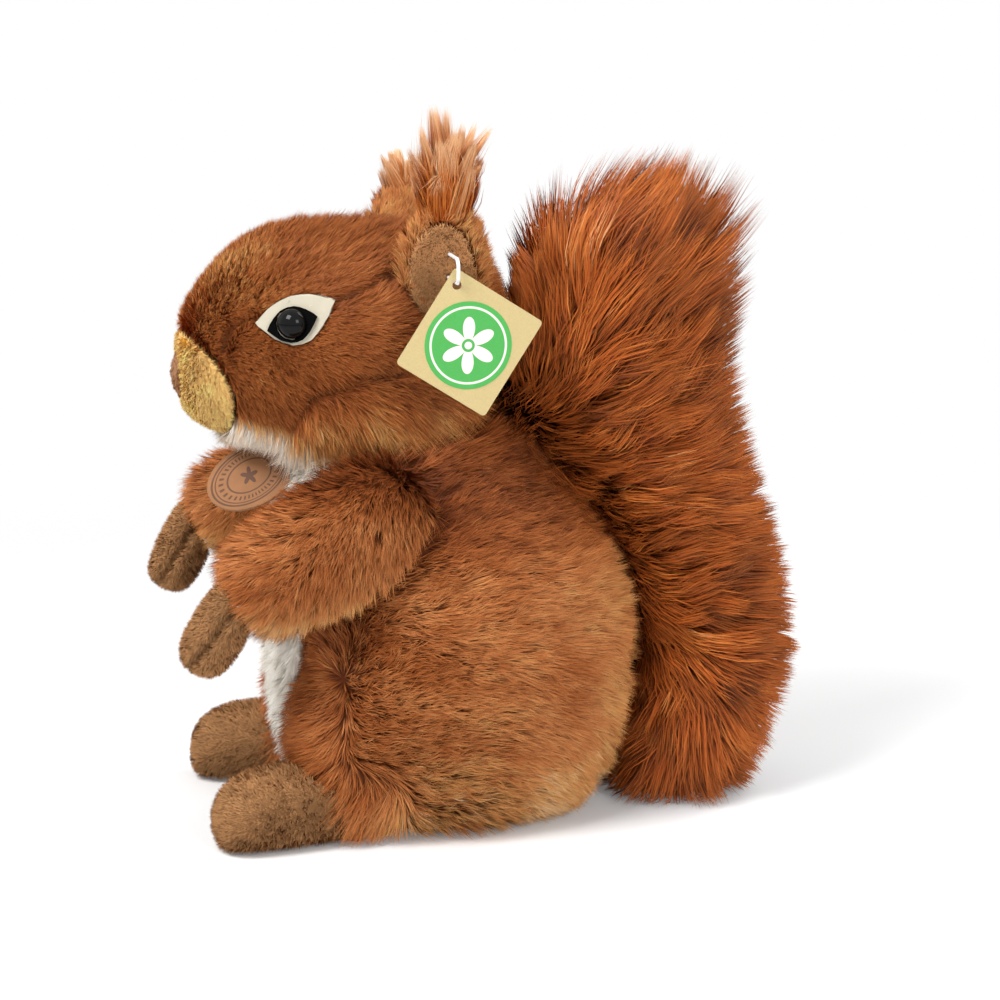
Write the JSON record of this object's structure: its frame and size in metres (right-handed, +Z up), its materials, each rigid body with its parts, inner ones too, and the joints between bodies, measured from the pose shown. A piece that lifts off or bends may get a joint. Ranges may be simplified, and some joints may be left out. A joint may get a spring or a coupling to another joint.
{
  "type": "plush squirrel",
  "caption": "Soft plush squirrel that sits upright on a flat base with its bushy tail up behind it, with tufted ears, a card tag and a leather badge.",
  "frame": {"origin": "on the flat seat base, under the middle of the body", "axes": "+Z up; the squirrel faces -Y, its left side is +X and its tail is towards +Y"},
  "size_m": [0.1241, 0.2214, 0.2366],
  "materials": {
    "rust_fur": "short pile",
    "tail_fur": "long pile",
    "cream_fur": "short pile",
    "ochre_fur": "very short pile",
    "taupe_plush": "very short pile",
    "nose_fabric": "brushed",
    "cream_felt": "felt",
    "black_felt": "felt",
    "eye_plastic": "gloss",
    "washer_plastic": "satin",
    "card": "matte card",
    "nylon": "satin",
    "leather": "natural"
  },
  "bodies": {
    "root": {"badge": "leather", "belly_panel": "cream_fur", "body": "rust_fur", "hang_tag": "card", "head": "rust_fur", "left_arm": "rust_fur", "left_ear": "rust_fur", "left_ear_lining": "taupe_plush", "left_ear_tuft": "tail_fur", "left_eye": "eye_plastic", "left_eye_liner": "black_felt", "left_eye_patch": "cream_felt", "left_eye_washer": "washer_plastic", "left_foot": "taupe_plush", "left_paw": "taupe_plush", "muzzle": "ochre_fur", "nose": "nose_fabric", "right_arm": "rust_fur", "right_ear": "rust_fur", "right_ear_lining": "taupe_plush", "right_ear_tuft": "tail_fur", "right_eye": "eye_plastic", "right_eye_liner": "black_felt", "right_eye_patch": "cream_felt", "right_eye_washer": "washer_plastic", "right_foot": "taupe_plush", "right_paw": "taupe_plush", "tag_loop": "nylon", "tail": "tail_fur"}
  },
  "joints": []
}
